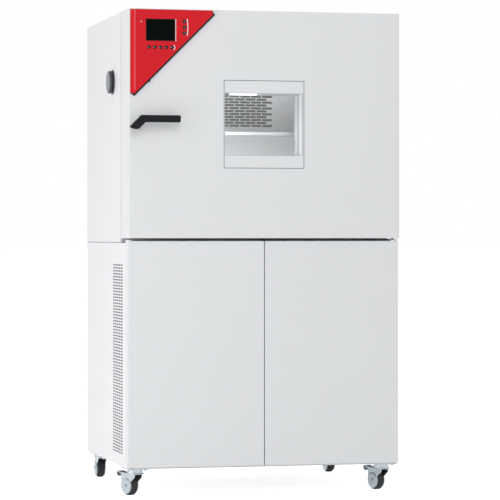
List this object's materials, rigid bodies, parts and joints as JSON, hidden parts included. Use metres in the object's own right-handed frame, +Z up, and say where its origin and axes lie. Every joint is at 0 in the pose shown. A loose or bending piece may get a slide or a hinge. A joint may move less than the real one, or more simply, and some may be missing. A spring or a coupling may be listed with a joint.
{
  "type": "environmental test chamber",
  "caption": "Floor-standing environmental test chamber on castors, with a windowed upper door, triangular control panel, test space with shelf, and a vented machine housing below.",
  "frame": {"origin": "on the floor, under the middle of the whole object", "axes": "+X to the right seen from the front, +Y to the back, +Z up"},
  "size_m": [1.14, 1.055, 1.945],
  "materials": {
    "door_coat": "satin",
    "housing_coat": "satin",
    "frame_coat": "satin",
    "collar_plastic": "satin",
    "stainless": "satin",
    "zinc": "satin",
    "tyre": "matte",
    "insulation": "matte",
    "silicone": "satin",
    "seal": "matte",
    "fins": "satin",
    "motor_coat": "gloss",
    "fan_plastic": "satin",
    "glass": "gloss",
    "lamp": "gloss",
    "box_plastic": "satin",
    "cover_plastic": "satin",
    "display_glass": "gloss",
    "key_plastic": "gloss",
    "handle_plastic": "satin"
  },
  "bodies": {
    "housing": {"lower_left_panel": "housing_coat", "lower_right_panel": "housing_coat", "lower_rear_panel": "housing_coat", "upper_left_panel": "housing_coat", "upper_right_panel": "housing_coat", "top_panel": "housing_coat", "upper_rear_panel": "housing_coat", "hinge_brackets": "housing_coat", "base_frame": "frame_coat", "mid_deck": "frame_coat", "electrical_box": "frame_coat", "front_collar": "collar_plastic", "chamber_liner": "stainless", "air_baffle": "stainless", "shelf_runners": "stainless", "port_tube": "stainless", "heater_coil": "stainless", "latch_keeper": "stainless", "caster_plates": "zinc", "chamber_insulation": "insulation", "evaporator": "fins", "condenser": "fins", "fan_motor": "motor_coat", "compressor": "motor_coat", "cable_gland": "fan_plastic"},
    "door": {"door_skin": "door_coat", "door_core": "insulation", "door_inner_panel": "stainless", "door_gasket": "seal", "window_frame": "collar_plastic", "window_panes": "glass", "light_bar": "lamp", "control_box": "box_plastic", "panel_cover": "cover_plastic", "display": "display_glass"},
    "handle": {"handle_lever": "handle_plastic"},
    "shelf": {"shelf": "stainless"},
    "fan": {"circulation_fan": "fins"},
    "cooling_fan": {"condenser_fan": "fan_plastic"},
    "plug": {"port_plug": "silicone"},
    "left_door": {"lower_left_door": "door_coat"},
    "right_door": {"lower_right_door": "door_coat"},
    "row_key_1": {"row_key_1": "key_plastic"},
    "row_key_2": {"row_key_2": "key_plastic"},
    "row_key_3": {"row_key_3": "key_plastic"},
    "row_key_4": {"row_key_4": "key_plastic"},
    "row_key_5": {"row_key_5": "key_plastic"},
    "column_key_1": {"column_key_1": "key_plastic"},
    "column_key_2": {"column_key_2": "key_plastic"},
    "column_key_3": {"column_key_3": "key_plastic"},
    "caster_front_left": {"caster_fork_front_left": "zinc"},
    "wheel_front_left": {"caster_wheel_front_left": "tyre"},
    "pedal_front_left": {"brake_pedal_front_left": "zinc"},
    "caster_front_right": {"caster_fork_front_right": "zinc"},
    "wheel_front_right": {"caster_wheel_front_right": "tyre"},
    "pedal_front_right": {"brake_pedal_front_right": "zinc"},
    "caster_rear_left": {"caster_fork_rear_left": "zinc"},
    "wheel_rear_left": {"caster_wheel_rear_left": "tyre"},
    "caster_rear_right": {"caster_fork_rear_right": "zinc"},
    "wheel_rear_right": {"caster_wheel_rear_right": "tyre"}
  },
  "joints": [
    {"name": "upper_door_hinge", "type": "hinge", "parent": "housing", "child": "door", "pos_m": [0.545, -0.4255, 1.033], "axis": [0, 0, 1], "range_deg": [0, 110]},
    {"name": "handle_turn", "type": "hinge", "parent": "door", "child": "handle", "pos_m": [-0.534, -0.4755, 1.48], "axis": [0, 1, 0], "range_deg": [0, 90]},
    {"name": "lower_left_door_hinge", "type": "hinge", "parent": "housing", "child": "left_door", "pos_m": [-0.55, -0.4505, 0.118], "axis": [0, 0, -1], "range_deg": [0, 115]},
    {"name": "lower_right_door_hinge", "type": "hinge", "parent": "housing", "child": "right_door", "pos_m": [0.55, -0.4505, 0.118], "axis": [0, 0, 1], "range_deg": [0, 115]},
    {"name": "shelf_slide", "type": "slide", "parent": "housing", "child": "shelf", "axis": [0, -1, 0], "range_m": [0, 0.02]},
    {"name": "circulation_fan_spin", "type": "hinge", "parent": "housing", "child": "fan", "pos_m": [0, 0.2145, 1.628], "axis": [0, 1, 0], "continuous": true},
    {"name": "condenser_fan_spin", "type": "hinge", "parent": "housing", "child": "cooling_fan", "pos_m": [-0.4825, -0.2315, 0.62], "axis": [1, 0, 0], "continuous": true},
    {"name": "port_plug_pull", "type": "slide", "parent": "housing", "child": "plug", "axis": [-1, 0, 0], "range_m": [0, 0.09]},
    {"name": "row_key_1_press", "type": "slide", "parent": "door", "child": "row_key_1", "axis": [0, 1, 0], "range_m": [0, 0.001], "stiffness_N_per_m": 800, "springref_m": -0.0005},
    {"name": "row_key_2_press", "type": "slide", "parent": "door", "child": "row_key_2", "axis": [0, 1, 0], "range_m": [0, 0.001], "stiffness_N_per_m": 800, "springref_m": -0.0005},
    {"name": "row_key_3_press", "type": "slide", "parent": "door", "child": "row_key_3", "axis": [0, 1, 0], "range_m": [0, 0.001], "stiffness_N_per_m": 800, "springref_m": -0.0005},
    {"name": "row_key_4_press", "type": "slide", "parent": "door", "child": "row_key_4", "axis": [0, 1, 0], "range_m": [0, 0.001], "stiffness_N_per_m": 800, "springref_m": -0.0005},
    {"name": "row_key_5_press", "type": "slide", "parent": "door", "child": "row_key_5", "axis": [0, 1, 0], "range_m": [0, 0.001], "stiffness_N_per_m": 800, "springref_m": -0.0005},
    {"name": "column_key_1_press", "type": "slide", "parent": "door", "child": "column_key_1", "axis": [0, 1, 0], "range_m": [0, 0.001], "stiffness_N_per_m": 800, "springref_m": -0.0005},
    {"name": "column_key_2_press", "type": "slide", "parent": "door", "child": "column_key_2", "axis": [0, 1, 0], "range_m": [0, 0.001], "stiffness_N_per_m": 800, "springref_m": -0.0005},
    {"name": "column_key_3_press", "type": "slide", "parent": "door", "child": "column_key_3", "axis": [0, 1, 0], "range_m": [0, 0.001], "stiffness_N_per_m": 800, "springref_m": -0.0005},
    {"name": "caster_front_left_swivel", "type": "hinge", "parent": "housing", "child": "caster_front_left", "pos_m": [-0.514, -0.3705, 0.091], "axis": [0, 0, 1], "continuous": true},
    {"name": "wheel_front_left_roll", "type": "hinge", "parent": "caster_front_left", "child": "wheel_front_left", "pos_m": [-0.52864, -0.33761, 0.04], "axis": [-0.9135, -0.4067, 0], "continuous": true},
    {"name": "pedal_front_left_press", "type": "hinge", "parent": "caster_front_left", "child": "pedal_front_left", "pos_m": [-0.54085, -0.31021, 0.083], "axis": [-0.9135, -0.4067, 0], "range_deg": [0, 15]},
    {"name": "caster_front_right_swivel", "type": "hinge", "parent": "housing", "child": "caster_front_right", "pos_m": [0.514, -0.3705, 0.091], "axis": [0, 0, 1], "continuous": true},
    {"name": "wheel_front_right_roll", "type": "hinge", "parent": "caster_front_right", "child": "wheel_front_right", "pos_m": [0.50228, -0.33646, 0.04], "axis": [-0.9455, -0.3256, 0], "continuous": true},
    {"name": "pedal_front_right_press", "type": "hinge", "parent": "caster_front_right", "child": "pedal_front_right", "pos_m": [0.49251, -0.3081, 0.083], "axis": [-0.9455, -0.3256, 0], "range_deg": [0, 15]},
    {"name": "caster_rear_left_swivel", "type": "hinge", "parent": "housing", "child": "caster_rear_left", "pos_m": [-0.514, 0.4095, 0.091], "axis": [0, 0, 1], "continuous": true},
    {"name": "wheel_rear_left_roll", "type": "hinge", "parent": "caster_rear_left", "child": "wheel_rear_left", "pos_m": [-0.514, 0.4455, 0.04], "axis": [-1, 0, 0], "continuous": true},
    {"name": "caster_rear_right_swivel", "type": "hinge", "parent": "housing", "child": "caster_rear_right", "pos_m": [0.514, 0.4095, 0.091], "axis": [0, 0, 1], "continuous": true},
    {"name": "wheel_rear_right_roll", "type": "hinge", "parent": "caster_rear_right", "child": "wheel_rear_right", "pos_m": [0.51086, 0.44536, 0.04], "axis": [-0.9962, -0.0872, 0], "continuous": true}
  ]
}
